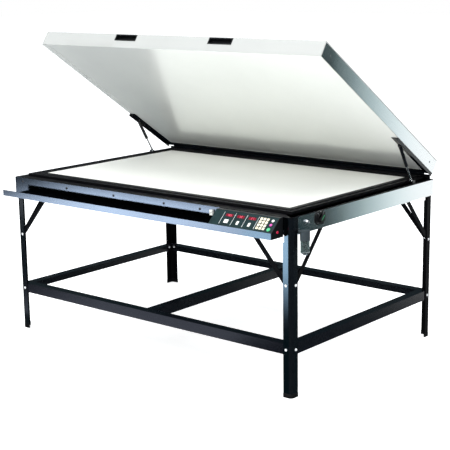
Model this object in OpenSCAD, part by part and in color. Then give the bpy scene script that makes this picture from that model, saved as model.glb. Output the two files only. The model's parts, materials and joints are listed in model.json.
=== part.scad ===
// Hot vacuum press on a bolted floor stand, lid held open by two gas struts.
// Millimetres, +Z up, front (trough and console) towards -Y.
// Drawn with X = 0 on the table's centre line, Y = 0 on the table's front face and
// Z = 0 on the floor; home() then moves it so that the origin is the middle of the
// whole machine's footprint.

/* [Table] */
// Width of the table over its side panels
table_w = 1948; // [1600:4:2200]
// Depth of the table, front face to rear face
table_d = 1282; // [1100:2:1500]
// Height of the table's ledge above the floor
ledge_z = 885; // [800:5:950]
// Depth of the table's side panels
panel_h = 88; // [80:1:110]
// Height of the black seal frame above the ledge
seal_frame_h = 15; // [12:1:20]
// Distance from the table's sides to the seal frame
seal_inset_x = 44; // [42:1:60]
// Distance from the table's front to the seal frame
seal_inset_front = 57; // [40:1:70]
// Distance from the table's rear to the seal frame
seal_inset_rear = 21; // [16:1:40]
// Width of the seal frame's side bars
seal_bar_x = 67; // [50:1:90]
// Width of the seal frame's front and rear bars
seal_bar_y = 76; // [50:1:90]

/* [Lid] */
// Width of the lid
lid_w = 1936; // [1590:2:2190]
// Depth of the lid from its rear face
lid_d = 1261; // [1090:1:1490]
// Height of the lid's skirt
lid_h = 84; // [70:1:110]
// Gap under the closed lid for the gasket
lid_gap = 8; // [7:0.5:12]
// Width of the flange round the lid's underside
lid_rim = 45; // [42:1:60]
// Angle of the open lid above the table
lid_open = 33.8; // [20:0.1:45]

/* [Gas struts] */
// Distance of the strut's lid pin from the lid's rear face
strut_pin_a = 360; // [330:1:380]
// Distance of the strut's foot from the table's rear face
strut_foot_a = 182; // [170:1:190]
// Outer radius of the strut's cylinder
strut_r = 9; // [7:0.5:9]
// Length of the strut's cylinder
strut_tube = 128; // [100:1:130]
// Radius of the strut's rod
rod_r = 4; // [3:0.5:5]

/* [Stand] */
// Width of each flange of a leg
leg_flange = 50; // [40:1:60]
// Thickness of the steel in legs and rails
steel_t = 4; // [3:0.5:5]
// Outside bend radius of a leg
leg_bend = 20; // [10:1:20]
// Height of the lower rails' top face
rail_z = 266; // [200:1:400]
// Size of the rails' flanges
rail_flange = 52; // [40:1:60]
// Height of the brace's bolt in the leg
brace_leg_z = 556; // [500:1:600]
// Distance from the leg's corner to the brace's upper bolt
brace_reach = 240; // [200:1:300]
// Width of a brace
brace_w = 25; // [20:1:30]

/* [Trough and console] */
// Depth of the trough in front of the table
trough_d = 95; // [80:1:120]
// Height of the trough's front lip
lip_h = 32; // [25:1:45]
// Left end of the console
console_x0 = 540; // [440:1:560]
// Right end of the trough and the console
console_x1 = 925; // [900:1:926]
// Size of a keypad key
key_size = 13.5; // [9:0.5:14]
// Distance between keypad columns
key_pitch_x = 19; // [15:0.5:19]
// Distance between keypad rows
key_pitch_y = 18; // [16:0.5:18]
// Travel of the three round and square buttons
button_travel = 1.2; // [0.8:0.1:1.5]

/* [Vacuum line] */
// Radius of the vacuum filter's bowl
bowl_r = 22; // [18:1:24]
// Height of the vacuum filter's bowl
bowl_h = 69; // [50:1:75]
// Distance of the filter's axis from the side panel
filter_out = 30; // [27:1:34]

/* [Hidden] */
$fn = 48;

// Colours
satin_black = [0.05, 0.05, 0.06];
rail_grey = [0.12, 0.12, 0.13];
panel_grey = [0.62, 0.66, 0.68];
lid_white = [0.94, 0.94, 0.93];
bed_white = [0.95, 0.95, 0.92];
zinc = [0.78, 0.79, 0.80];
key_cream = [0.93, 0.88, 0.72];

// Gap left between neighbouring pieces
gap = 0.2;
// Thickness of the sheet metal
sheet = 2;

half_w = table_w / 2;
panel_z = ledge_z - panel_h;
ledge_t = 3;
panel_top = ledge_z - ledge_t;
bed_top = ledge_z + seal_frame_h - 3;

// Seal frame and bed
seal_x = half_w - seal_inset_x;
seal_y0 = seal_inset_front;
seal_y1 = table_d - seal_inset_rear;
bed_x = seal_x - seal_bar_x;
bed_y0 = seal_y0 + seal_bar_y;
bed_y1 = seal_y1 - seal_bar_y;
seal_top = ledge_z + seal_frame_h;

// Hinge line
knuckle_r = 6;
pin_r = 3;
pin_y = table_d + knuckle_r;
pin_z = seal_top + lid_gap;
lid_y1 = table_d;
lid_y0 = table_d - lid_d;
lid_x = lid_w / 2;

// Legs, measured to their outer faces
leg_x = half_w - sheet - gap;
leg_y0 = 0;
leg_y1 = table_d - sheet - gap;
foot_rise = 4;
leg_top = panel_top - gap;
bolt_in = 33;
bolt_head = 5;

// Strut geometry, in the plane of the lid's side
strut_x = 946;
eye_w = 16;
eye_r = 8;
pin_drop = 12;
stud_r = 4;
lid_arm = pin_y - (lid_y1 - strut_pin_a);
arm_r = sqrt(lid_arm * lid_arm + pin_drop * pin_drop);
arm_tilt = atan2(pin_drop, lid_arm);
upper_y = pin_y - arm_r * cos(lid_open - arm_tilt);
upper_z = pin_z + arm_r * sin(lid_open - arm_tilt);
foot_y = table_d - strut_foot_a;
foot_z = pin_z - pin_drop;
strut_len = sqrt(pow(foot_y - upper_y, 2) + pow(foot_z - upper_z, 2));
strut_fall = atan2(upper_z - foot_z, foot_y - upper_y);

// Console slope
slope_y = -trough_d + 4.5;
slope_z = panel_z - 7 + lip_h - 1;
slope_top_y = -24;
slope_top_z = ledge_z - 2;
slope_angle = atan2(slope_top_z - slope_z, slope_top_y - slope_y);
slope_len = sqrt(pow(slope_top_y - slope_y, 2) + pow(slope_top_z - slope_z, 2));
trough_z = panel_z - 7;
fascia_t = 2.5;
display_x = [636, 706, 776];
display_size = [44, 16];
display_v = 65;
rocker_v = 28;
rocker_h = 20;
rocker_widths = [24, 12, 12];
keypad_x = 847;
keypad_v = 45.5;
button_x = 897;
button_v = [69, 45, 18];
button_r = [6.8, 6.8, 9.5];

// Pilot lamp in the console's end plate
lamp_y = -46;
lamp_z = 819;
lamp_r = 7;

// Side fittings
switch_y = 223;
switch_z = 851;
port_y = 113;
port_z = 849;
filter_y = 63;
filter_x = half_w + filter_out;
head_r = bowl_r + 2;
head_z0 = 772;
head_z1 = 820;
stub_z = head_z1 - 9;
gland_x = half_w - 94;
gland_z = panel_z + 45;
gland_r = 12.5;

// Middle of the whole machine's footprint with the lid open
lid_rear_y = pin_y + lid_h * sin(lid_open) - knuckle_r * cos(lid_open);
knuckle_rear_y = pin_y + knuckle_r;
mid_x = (filter_x + head_r - leg_x - bolt_head - gap) / 2;
mid_y = (max(lid_rear_y, knuckle_rear_y) - trough_d) / 2;

module home() translate([-mid_x, -mid_y, 0]) children();

// Turns what is drawn on the closed lid to the open lid's place
module on_lid() {
    home() translate([0, pin_y, pin_z]) rotate([-lid_open, 0, 0])
        translate([0, -pin_y, -pin_z]) children();
}

// Puts what is drawn with +X along the strut from its lid pin into the open strut's place
module on_strut(side) {
    home() translate([side * strut_x, upper_y, upper_z])
        rotate([-strut_fall, 0, 0]) rotate([0, 0, 90]) children();
}

// Puts what is drawn flat, X along the console and Y up its slope, onto the slope
module on_slope() home() translate([0, slope_y, slope_z]) rotate([slope_angle, 0, 0]) children();

module block(x0, x1, y0, y1, z0, z1) translate([x0, y0, z0]) cube([x1 - x0, y1 - y0, z1 - z0]);

module ring(x0, x1, y0, y1, z0, z1, bar_x, bar_y) {
    difference() {
        block(x0, x1, y0, y1, z0, z1);
        block(x0 + bar_x, x1 - bar_x, y0 + bar_y, y1 - bar_y, z0 - 1, z1 + 1);
    }
}

module rod_along_x(x0, x1, r) translate([x0, 0, 0]) rotate([0, 90, 0]) cylinder(r = r, h = x1 - x0);

// ---- Stand ----

// Angle profile with its outside corner at the origin and both flanges positive
module angle_profile(flange, t, bend) {
    translate([bend, 0]) square([flange - bend, t]);
    translate([0, bend]) square([t, flange - bend]);
    intersection() {
        difference() {
            translate([bend, bend]) circle(r = bend);
            translate([bend, bend]) circle(r = bend - t);
        }
        square([bend, bend]);
    }
}

// Mirrors a piece drawn for the front left corner to any corner
module at_corner(side, end) {
    translate([side * leg_x, end < 0 ? leg_y0 : leg_y1, 0])
        mirror([side > 0 ? 1 : 0, 0, 0]) mirror([0, end > 0 ? 1 : 0, 0]) children();
}

module leg(side, end) color(satin_black) home() at_corner(side, end) {
    neck = 7;
    difference() {
        translate([0, 0, foot_rise])
            linear_extrude(leg_top - foot_rise) angle_profile(leg_flange, steel_t, leg_bend);
        block(leg_flange - neck, leg_flange + 1, -1, steel_t + 1, panel_z - 35, leg_top + 1);
        for (z = [rail_z - 26, brace_leg_z]) {
            translate([bolt_in, -1, z]) rotate([-90, 0, 0]) cylinder(r = 4.5, h = steel_t + 2);
            translate([-1, bolt_in, z]) rotate([0, 90, 0]) cylinder(r = 4.5, h = steel_t + 2);
        }
    }
}

module leg_front_left() leg(-1, -1);
module leg_front_right() leg(1, -1);
module leg_rear_left() leg(-1, 1);
module leg_rear_right() leg(1, 1);

module leg_feet() color(rail_grey) home() {
    lap = 1;
    for (side = [-1, 1], end = [-1, 1]) at_corner(side, end) difference() {
        translate([-lap, -lap, 0]) linear_extrude(22)
            angle_profile(leg_flange + 2 * lap, steel_t + 2 * lap + 1, leg_bend + lap);
        translate([0, 0, foot_rise]) linear_extrude(30)
            angle_profile(leg_flange + gap, steel_t, leg_bend);
    }
}

// Angle rail along X: the outer face at y = 0, the horizontal flange on top going to +Y
module rail_shape(length, cut) {
    difference() {
        block(-length / 2, length / 2, 0, steel_t, rail_z - rail_flange, rail_z);
        for (side = [-1, 1]) translate([side * (length / 2 - bolt_in + leg_bend + 1), -1, rail_z - 26])
            rotate([-90, 0, 0]) cylinder(r = 4.5, h = steel_t + 2);
    }
    block(-length / 2 + cut, length / 2 - cut, 0, rail_flange, rail_z - steel_t, rail_z);
}

rail_len_x = 2 * (leg_x - leg_bend - 1);
rail_len_y = leg_y1 - leg_y0 - 2 * (leg_bend + 1);
rail_in = steel_t + 0.3;

module rail_front() color(rail_grey) home()
    translate([0, leg_y0 + rail_in, 0]) rail_shape(rail_len_x, 0);

module rail_rear() color(rail_grey) home()
    translate([0, leg_y1 - rail_in, 0]) mirror([0, 1, 0]) rail_shape(rail_len_x, 0);

module side_rail(side) color(rail_grey) home()
    translate([side * (leg_x - rail_in), (leg_y0 + leg_y1) / 2, 0])
        mirror([side > 0 ? 0 : 1, 0, 0]) rotate([0, 0, 90])
            rail_shape(rail_len_y, rail_flange + rail_in - leg_bend);

module rail_left() side_rail(-1);
module rail_right() side_rail(1);

module rail_cross() color(rail_grey) home() {
    y0 = leg_y0 + rail_in + rail_flange + gap;
    y1 = leg_y1 - rail_in - rail_flange - gap;
    tab = 44;
    block(21, 25, y0, y1, rail_z - rail_flange, rail_z);
    block(-25, 25, y0, y1, rail_z - steel_t, rail_z);
    block(-25, 25, y0 - tab, y1 + tab, rail_z - 2 * steel_t - gap, rail_z - steel_t - gap);
}

// Flat bar brace in the plane of a leg's flange, with a bent tab under the table's edge
module brace_bar() {
    tab = 30;
    rise = panel_z - gap - steel_t - brace_leg_z;
    run = brace_reach - bolt_in;
    reach = sqrt(rise * rise + run * run);
    difference() {
        translate([bolt_in, steel_t, brace_leg_z]) rotate([90, -atan2(rise, run), 0])
            linear_extrude(steel_t) difference() {
                union() {
                    translate([0, -brace_w / 2]) square([reach + brace_w, brace_w]);
                    circle(r = brace_w / 2);
                }
                circle(r = 4.5);
            }
        block(0, brace_reach + 60, -1, steel_t + 1, panel_z - gap, panel_z + 60);
    }
    difference() {
        block(brace_reach - brace_w / 2, brace_reach + brace_w / 2, 0, tab,
              panel_z - gap - steel_t, panel_z - gap);
        translate([brace_reach, tab - 12, panel_z - 10]) cylinder(r = 4.5, h = 12);
    }
}

module leg_braces() color(satin_black) home() {
    for (side = [-1, 1], end = [-1, 1]) at_corner(side, end) {
        translate([0, rail_in, 0]) brace_bar();
        translate([rail_in, 0, 0]) mirror([1, -1, 0]) brace_bar();
    }
}

// Bolt from outside a leg: head at negative Y, nut behind
module stand_bolt(grip) {
    rotate([-90, 0, 0]) {
        translate([0, 0, -gap - bolt_head]) cylinder(r = 7, h = bolt_head);
        translate([0, 0, -gap - 1]) cylinder(r = 4.2, h = grip + 9);
        translate([0, 0, grip + gap]) cylinder(r = 7, h = 6, $fn = 6);
    }
}

module stand_bolts() color(zinc) home() {
    grip = 2 * steel_t + 0.3;
    for (side = [-1, 1], end = [-1, 1]) at_corner(side, end)
        for (z = [rail_z - 26, brace_leg_z]) {
            translate([bolt_in, 0, z]) stand_bolt(grip);
            translate([0, bolt_in, z]) mirror([1, -1, 0]) stand_bolt(grip);
        }
    for (side = [-1, 1], end = [-1, 1]) at_corner(side, end) {
        translate([brace_reach, rail_in + 18, 0]) tab_bolt();
        translate([rail_in + 18, brace_reach, 0]) tab_bolt();
    }
}

// Bolt up through a brace's tab and the table's bottom flange
module tab_bolt() translate([0, 0, panel_z - gap - steel_t]) {
    translate([0, 0, -gap - bolt_head]) cylinder(r = 6.5, h = bolt_head);
    translate([0, 0, -gap - 1]) cylinder(r = 3.8, h = 14);
    translate([0, 0, steel_t + sheet + 2 * gap]) cylinder(r = 6.5, h = 5, $fn = 6);
}

// ---- Table ----

lip_w = 60;
tab_hole_r = 4.2;

// Holes for the bolts that hold the braces' tabs, seen from each corner
module tab_holes() {
    for (side = [-1, 1], end = [-1, 1]) at_corner(side, end) {
        translate([brace_reach, rail_in + 18, panel_z - 5]) cylinder(r = tab_hole_r, h = 12);
        translate([rail_in + 18, brace_reach, panel_z - 5]) cylinder(r = tab_hole_r, h = 12);
    }
}

module side_panel(side) color(panel_grey) home() mirror([side > 0 ? 0 : 1, 0, 0]) {
    difference() {
        union() {
            block(half_w - sheet, half_w, leg_flange + 1, table_d, panel_z, panel_top);
            block(half_w - lip_w, half_w, leg_flange + 10, table_d - leg_flange - 10,
                  panel_z, panel_z + sheet);
        }
        tab_holes();
        if (side > 0) {
            translate([half_w - 5, port_y, port_z]) rotate([0, 90, 0]) cylinder(r = 8.2, h = 10);
            translate([half_w - 5, switch_y, switch_z]) rotate([0, 90, 0]) cylinder(r = 14, h = 10);
            translate([half_w - 5, filter_y, stub_z]) rotate([0, 90, 0]) cylinder(r = 6.2, h = 10);
        }
    }
}

module side_panel_left() side_panel(-1);
module side_panel_right() side_panel(1);

module rear_panel() color(satin_black) home() {
    difference() {
        union() {
            block(-half_w + sheet + gap, half_w - sheet - gap, table_d - sheet, table_d, panel_z, panel_top);
            block(-half_w + 70, half_w - 70, table_d - lip_w, table_d, panel_z, panel_z + sheet);
        }
        tab_holes();
        translate([gland_x, table_d + 1, gland_z]) rotate([90, 0, 0]) cylinder(r = gland_r, h = 5);
    }
}

front_panel_y = rail_in + steel_t + 0.5;

module front_panel() color(satin_black) home() difference() {
    union() {
        block(-leg_x + 10, leg_x - 10, front_panel_y, front_panel_y + sheet, panel_z, panel_top);
        block(-leg_x + 62, leg_x - 62, front_panel_y, front_panel_y + lip_w, panel_z, panel_z + sheet);
    }
    tab_holes();
    for (x = screw_x) translate([x, 0, screw_z]) rotate([-90, 0, 0]) cylinder(r = 3.2, h = 20);
}

module bottom_pan() color(rail_grey) home()
    block(-half_w + lip_w - 10, half_w - lip_w + 10, lip_w - 10, table_d - lip_w + 10,
          panel_z + sheet + gap, panel_z + 2 * sheet);

// Ledge plate with an upstand along its rear edge that closes the gap under the lid
module table_ledge() color(satin_black) home() difference() {
    union() {
        block(-half_w, half_w, 0, table_d, panel_top, ledge_z);
        block(-half_w + 20, half_w - 20, table_d - 4, table_d - 1, panel_top, pin_z - 1);
    }
    block(-bed_x - 1, bed_x + 1, bed_y0 - 1, bed_y1 + 1, panel_top - 1, ledge_z + 1);
}

module bed_beams() color(zinc) home() {
    beam_w = 40;
    for (x = [-660, -220, 220, 660]) difference() {
        block(x - beam_w / 2, x + beam_w / 2, bed_y0 + 4, bed_y1 - 4, panel_z + 5, bed_top - 18 - gap);
        block(x - beam_w / 2 + 3, x + beam_w / 2 - 3, bed_y0, bed_y1, panel_z + 2, bed_top - 21 - gap);
    }
}

// The pump draws the air out through the gap round the bed
module bed_board() color(bed_white) home()
    block(-bed_x + 1, bed_x - 1, bed_y0 + 1, bed_y1 - 1, bed_top - 18, bed_top);

gasket_w = 12;
groove_in = 20;

module groove(width, z0, z1) {
    inset = groove_in + (gasket_w - width) / 2;
    ring(-bed_x - seal_bar_x + inset, bed_x + seal_bar_x - inset, seal_y0 + inset, seal_y1 - inset,
         z0, z1, width, width);
}

module seal_frame() color(satin_black) home() difference() {
    ring(-seal_x, seal_x, seal_y0, seal_y1, ledge_z, seal_top, seal_bar_x, seal_bar_y);
    groove(gasket_w, seal_top - 4, seal_top + 1);
}

module lid_gasket() color([0.03, 0.03, 0.03]) home()
    groove(gasket_w - 2 * gap, seal_top - 4, seal_top + lid_gap - 3);

// ---- Trough and console ----

module trough() color(satin_black) home() {
    hem = 4;
    difference() {
        union() {
            block(-half_w, console_x1, -sheet - gap, -gap, trough_z, ledge_z - 1);
            block(-half_w, console_x1, -trough_d, -gap, trough_z, trough_z + sheet);
            block(-half_w, console_x1, -trough_d, -trough_d + sheet, trough_z, trough_z + lip_h);
            block(-half_w, console_x1, -trough_d, -trough_d + hem, trough_z + lip_h - hem, trough_z + lip_h);
        }
        for (x = screw_x) translate([x, 5, screw_z]) rotate([90, 0, 0]) cylinder(r = 3.2, h = 12);
    }
}

screw_x = [-910, -550, -190, 170, 412];
screw_z = 862;

module trough_screws() color(zinc) home() {
    for (x = screw_x) translate([x, 0, screw_z]) {
        difference() {
            translate([0, -sheet - 2 * gap, 0]) rotate([90, 0, 0]) cylinder(r = 6.5, h = 3.2);
            translate([0, -sheet - 2, 0]) rotate([90, 0, 0]) cylinder(r = 2.4, h = 6, $fn = 6);
        }
        translate([0, front_panel_y + sheet + 4, 0]) rotate([90, 0, 0])
            cylinder(r = 2.8, h = front_panel_y + 2 * sheet + 4.3);
    }
}

module service_socket() color([0.9, 0.9, 0.88]) home() difference() {
    block(484, 502, -14, -sheet - 2 * gap, 842, 868);
    translate([493, -20, 855]) rotate([-90, 0, 0]) cylinder(r = 4, h = 14);
}

module slope_profile(grow) polygon([
    [slope_y - grow, trough_z + sheet + gap], [slope_y - grow, slope_z],
    [slope_top_y, slope_top_z + grow], [-sheet - 3 * gap, slope_top_z + grow],
    [-sheet - 3 * gap, trough_z + sheet + gap]
]);

module console_housing() color(satin_black) home() {
    wall = 2.5;
    x0 = console_x0;
    x1 = console_x1 - 4;
    difference() {
        translate([x0, 0, 0]) rotate([90, 0, 90]) linear_extrude(x1 - x0) slope_profile(0);
        block(x0 + wall, x1 + 1, slope_y + wall, slope_top_y, trough_z + 5, slope_z + 90);
        block(x0 + wall, x1 + 1, slope_top_y - 1, -sheet - 3 * gap - wall, trough_z + 5, slope_top_z - wall);
        translate([0, slope_y, slope_z]) rotate([slope_angle, 0, 0])
            block(x0 - 1, x1 + 1, -30, slope_len + 40, -fascia_t - gap, 60);
    }
}

module console_end_plate() color(satin_black) home() difference() {
    translate([console_x1 - 4 + gap, 0, 0]) rotate([90, 0, 90]) linear_extrude(3.5) slope_profile(0.3);
    translate([console_x1 - 6, lamp_y, lamp_z]) rotate([0, 90, 0]) cylinder(r = lamp_r + gap, h = 10);
}

// Block on the slope, centred along and up it
module tile(w, d, h) translate([-w / 2, -d / 2, 0]) cube([w, d, h]);

module at_keys() for (i = [-1:1], j = [-1.5:1.5])
    translate([keypad_x + i * key_pitch_x, keypad_v + j * key_pitch_y, 0]) children();

module console_fascia() color([0.04, 0.11, 0.10]) on_slope() {
    x0 = console_x0;
    x1 = console_x1 - 4;
    difference() {
        block(x0, x1, 1, slope_len - 1, -fascia_t, 0);
        for (x = display_x) translate([x, display_v, -9]) tile(display_size[0], display_size[1], 10);
        for (i = [0:2]) translate([display_x[i], rocker_v, -9]) tile(rocker_widths[i] + 1, rocker_h + 1.4, 10);
        at_keys() translate([0, 0, -4]) tile(key_size + 0.8, key_size + 0.8, 9);
        for (i = [0:2]) translate([button_x, button_v[i], -9]) cylinder(r = button_r[i] + 0.5, h = 12);
    }
}

module display_modules() color([0.7, 0.05, 0.12]) on_slope() {
    for (x = display_x) translate([x, display_v, -10])
        tile(display_size[0] - 2 * gap, display_size[1] - 2 * gap, 9.4);
}

module keypad_mat() color(key_cream) on_slope() {
    mat_t = 1.5;
    block(keypad_x - 1.5 * key_pitch_x, keypad_x + 1.5 * key_pitch_x,
          keypad_v - 2 * key_pitch_y, keypad_v + 2 * key_pitch_y, -fascia_t - gap - mat_t, -fascia_t - gap);
    at_keys() translate([0, 0, -fascia_t - gap - 0.5]) tile(key_size, key_size, fascia_t + gap + 1.9);
}

module rocker_temperature() rocker_key(0);
module rocker_time() rocker_key(1);
module rocker_vacuum() rocker_key(2);

// Rocker key that tips about a line just under the fascia
module rocker_key(i) color([0.92, 0.92, 0.88]) on_slope() translate([display_x[i], rocker_v, 0]) {
    w = rocker_widths[i];
    difference() {
        block(-w / 2, w / 2, -rocker_h / 2, rocker_h / 2, -5, 1.6);
        block(-w, w, -0.8, 0.8, 0.8, 3);
    }
    translate([0, 0, -4]) rod_along_x(-w / 2 - 2.5, w / 2 + 2.5, 1);
}

module button_select() color([0.92, 0.92, 0.88]) round_button(0);
module button_stop() color([0.85, 0.2, 0.6]) round_button(1);
module button_start() color([0.1, 0.55, 0.25]) round_button(2);

// Round button with a flange behind the fascia
module round_button(i) on_slope() translate([button_x, button_v[i], 0]) {
    translate([0, 0, -5]) cylinder(r = button_r[i], h = 5.8 + button_travel);
    translate([0, 0, -6]) cylinder(r = button_r[i] + 1.7, h = 1.5);
}

module control_board() color([0.05, 0.3, 0.12]) on_slope() {
    block(console_x0 + 12, console_x1 - 16, 22, slope_len - 14, -15, -13.4);
    for (x = display_x) block(x - 16, x + 16, rocker_v + 8, rocker_v + 22, -18.5, -15);
}

module pilot_lamp() color([0.75, 0.05, 0.1]) home()
    translate([0, lamp_y, lamp_z]) rod_along_x(console_x1 - 12, console_x1 + 3, lamp_r);

// ---- Side fittings ----

module switch_plate() color(satin_black) home() translate([half_w + gap, switch_y, switch_z]) {
    corner = 16;
    half_y = 38;
    half_z = 33;
    difference() {
        rotate([90, 0, 90]) linear_extrude(6) polygon([
            [-half_y + corner, -half_z], [half_y - corner, -half_z], [half_y, -half_z + corner],
            [half_y, half_z - corner], [half_y - corner, half_z], [-half_y + corner, half_z],
            [-half_y, half_z - corner], [-half_y, -half_z + corner]
        ]);
        rod_along_x(-1, 7, 5.1);
    }
    difference() {
        rod_along_x(-28, -sheet - 2 * gap, 22);
        rod_along_x(-20, 1, 5.1);
    }
}

module switch_knob() color(satin_black) home() translate([half_w + gap, switch_y, switch_z]) {
    rod_along_x(-18, 7, 5);
    rod_along_x(6.3, 11, 23);
    rotate([-45, 0, 0]) block(10, 20, -6, 6, -21, 21);
}

module vacuum_port() color(zinc) home() translate([half_w, port_y, port_z]) difference() {
    union() {
        rod_along_x(gap, 4, 11);
        rod_along_x(-22, 14, 8);
    }
    rod_along_x(-30, 20, 5);
}

module filter_head() color([0.8, 0.82, 0.84]) home() difference() {
    union() {
        translate([filter_x, filter_y, head_z0]) cylinder(r = head_r, h = head_z1 - head_z0);
        translate([0, filter_y, stub_z]) rod_along_x(half_w - 18, filter_x - head_r + 2, 6);
    }
    translate([filter_x, filter_y, head_z0 - 1]) cylinder(r = bowl_r + gap, h = 9);
    translate([filter_x, filter_y, head_z0 - 1]) cylinder(r = 6, h = head_z1 - head_z0 - 4);
    translate([0, filter_y, stub_z]) rod_along_x(half_w - 30, filter_x, 3.5);
}

bowl_z0 = head_z0 + 7 - bowl_h;

module filter_bowl() color([0.75, 0.8, 0.8, 0.6]) home() translate([filter_x, filter_y, bowl_z0])
    difference() {
        cylinder(r = bowl_r, h = bowl_h);
        translate([0, 0, 4]) cylinder(r = bowl_r - 3, h = bowl_h);
        translate([0, 0, -1]) cylinder(r = 4.05, h = 10);
    }

module filter_drain() color(zinc) home() translate([filter_x, filter_y, bowl_z0]) {
    translate([0, 0, -7]) cylinder(r = 9, h = 6.7);
    translate([0, 0, -1]) cylinder(r = 4, h = 9);
    block(-15, 15, -2.5, 2.5, -7, -2);
}

pump_x = 790;
pump_y = 300;

module vacuum_pump() color([0.2, 0.2, 0.22]) home() {
    base_z = panel_z + 2 * sheet + gap;
    block(pump_x - 60, pump_x + 60, pump_y - 90, pump_y + 60, base_z, base_z + 4);
    translate([pump_x, pump_y + 5, base_z + 35]) rotate([90, 0, 0]) cylinder(r = 28, h = 90);
    block(pump_x - 35, pump_x + 35, pump_y, pump_y + 55, base_z + 3, base_z + 60);
    block(pump_x - 20, pump_x + 20, pump_y - 80, pump_y - 5, base_z + 3, base_z + 20);
}

module pump_hose() color([0.1, 0.1, 0.1]) home() {
    hose_x = half_w - 29;
    hose_y = pump_y + 30;
    hose_r = 5;
    translate([0, hose_y, stub_z]) rod_along_x(pump_x + 35 + gap, hose_x, hose_r);
    translate([hose_x, hose_y, stub_z]) sphere(r = hose_r);
    translate([hose_x, filter_y, stub_z]) rotate([-90, 0, 0]) cylinder(r = hose_r, h = hose_y - filter_y);
    translate([hose_x, filter_y, stub_z]) sphere(r = hose_r);
    translate([0, filter_y, stub_z]) rod_along_x(hose_x, half_w - 18 - gap, hose_r);
}

// ---- Hinges ----

hinge_x = [-740, 0, 740];
leaf_w = 150;
leaf_h = 64;
leaf_t = 3;
knuckles = 5;
knuckle_w = leaf_w / knuckles;

// One hinge leaf with its knuckles; up is 1 for the lid's leaf and -1 for the table's
module hinge_leaf(up) {
    first = up > 0 ? 1 : 0;
    z0 = up > 0 ? pin_z + knuckle_r + 0.5 : pin_z - knuckle_r - 0.5 - leaf_h;
    z1 = z0 + leaf_h;
    difference() {
        union() {
            block(-leaf_w / 2, leaf_w / 2, table_d + gap, table_d + leaf_t, z0, z1);
            for (k = [first:2:knuckles - 1]) {
                x0 = -leaf_w / 2 + k * knuckle_w + 0.3;
                translate([0, pin_y, pin_z]) rod_along_x(x0, x0 + knuckle_w - 0.6, knuckle_r - gap);
                block(x0, x0 + knuckle_w - 0.6, table_d + gap, table_d + leaf_t,
                      min(pin_z, z1), max(pin_z, z0));
            }
        }
        translate([0, pin_y, pin_z]) rod_along_x(-leaf_w, leaf_w, pin_r + 0.05);
    }
}

module hinge_base_leaves() color(zinc) home() for (x = hinge_x) translate([x, 0, 0]) hinge_leaf(-1);
module hinge_lid_leaves() color(zinc) on_lid() for (x = hinge_x) translate([x, 0, 0]) hinge_leaf(1);
module hinge_pins() color(zinc) home() for (x = hinge_x)
    translate([x, pin_y, pin_z]) rod_along_x(-leaf_w / 2 - 3, leaf_w / 2 + 3, pin_r);

// ---- Lid, drawn closed ----

cup_x = 330;
cup_z = pin_z + 60;
cup_w = 148;
cup_h = 30;
lid_skin = 1.6;

module lid_shell() color(lid_white) on_lid() {
    difference() {
        block(-lid_x, lid_x, lid_y0, lid_y1, pin_z, pin_z + lid_h);
        block(-lid_x + lid_skin, lid_x - lid_skin, lid_y0 + lid_skin, lid_y1 - lid_skin,
              pin_z + lid_skin, pin_z + lid_h - lid_skin);
        block(-lid_x + lid_rim, lid_x - lid_rim, lid_y0 + lid_rim, lid_y1 - lid_rim, pin_z - 1, pin_z + 10);
        for (side = [-1, 1]) block(side * cup_x - cup_w / 2, side * cup_x + cup_w / 2,
            lid_y0 - 1, lid_y0 + 5, cup_z - cup_h / 2, cup_z + cup_h / 2);
    }
}

platen_z = pin_z + lid_skin + gap;

module heated_platen() color([0.90, 0.91, 0.90]) on_lid()
    block(-lid_x + 25, lid_x - 25, lid_y0 + 28, lid_y1 - 25, platen_z, platen_z + 6);

module heater_mat() color([0.75, 0.35, 0.15]) on_lid()
    block(-lid_x + 60, lid_x - 60, lid_y0 + 60, lid_y1 - 60, platen_z + 6 + gap, platen_z + 8);

module lid_insulation() color([0.85, 0.8, 0.6]) on_lid()
    block(-lid_x + 30, lid_x - 30, lid_y0 + 33, lid_y1 - 30, platen_z + 8 + gap, platen_z + 28);

module pull_cups() color(satin_black) on_lid() for (x = [-cup_x, cup_x]) difference() {
    union() {
        block(x - cup_w / 2 - 4, x + cup_w / 2 + 4, lid_y0 - 1.5, lid_y0 - gap,
              cup_z - cup_h / 2 - 4, cup_z + cup_h / 2 + 4);
        block(x - cup_w / 2 + gap, x + cup_w / 2 - gap, lid_y0 - 1, lid_y0 + 26,
              cup_z - cup_h / 2 + gap, cup_z + cup_h / 2 - gap);
    }
    block(x - cup_w / 2 + 2, x + cup_w / 2 - 2, lid_y0 - 5, lid_y0 + 24,
          cup_z - cup_h / 2 + 2, cup_z + cup_h / 2 - 2);
}

// Angle under each side of the lid, with the stud that carries the strut, and a narrower
// one under the rear edge that closes the gap at the hinges
module lid_edge_angles() color(satin_black) on_lid() {
    y0 = lid_y1 - 430;
    y1 = lid_y1 - 8;
    arm_x = lid_x - 1;
    rear_x = lid_x - 46;
    for (side = [-1, 1]) mirror([side > 0 ? 0 : 1, 0, 0]) {
        block(arm_x - 42, arm_x, y0, y1, pin_z - sheet, pin_z - gap);
        block(arm_x - 3.5, arm_x, y0, y1, pin_z - 16, pin_z - gap);
        translate([0, lid_y1 - strut_pin_a, pin_z - pin_drop])
            rod_along_x(strut_x - eye_w / 2 - 2, arm_x - 3, stud_r);
    }
    block(-rear_x, rear_x, y1 - 14, y1, pin_z - sheet, pin_z - gap);
    block(-rear_x, rear_x, y1 - 2, y1, pin_z - 14, pin_z - gap);
}

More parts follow.
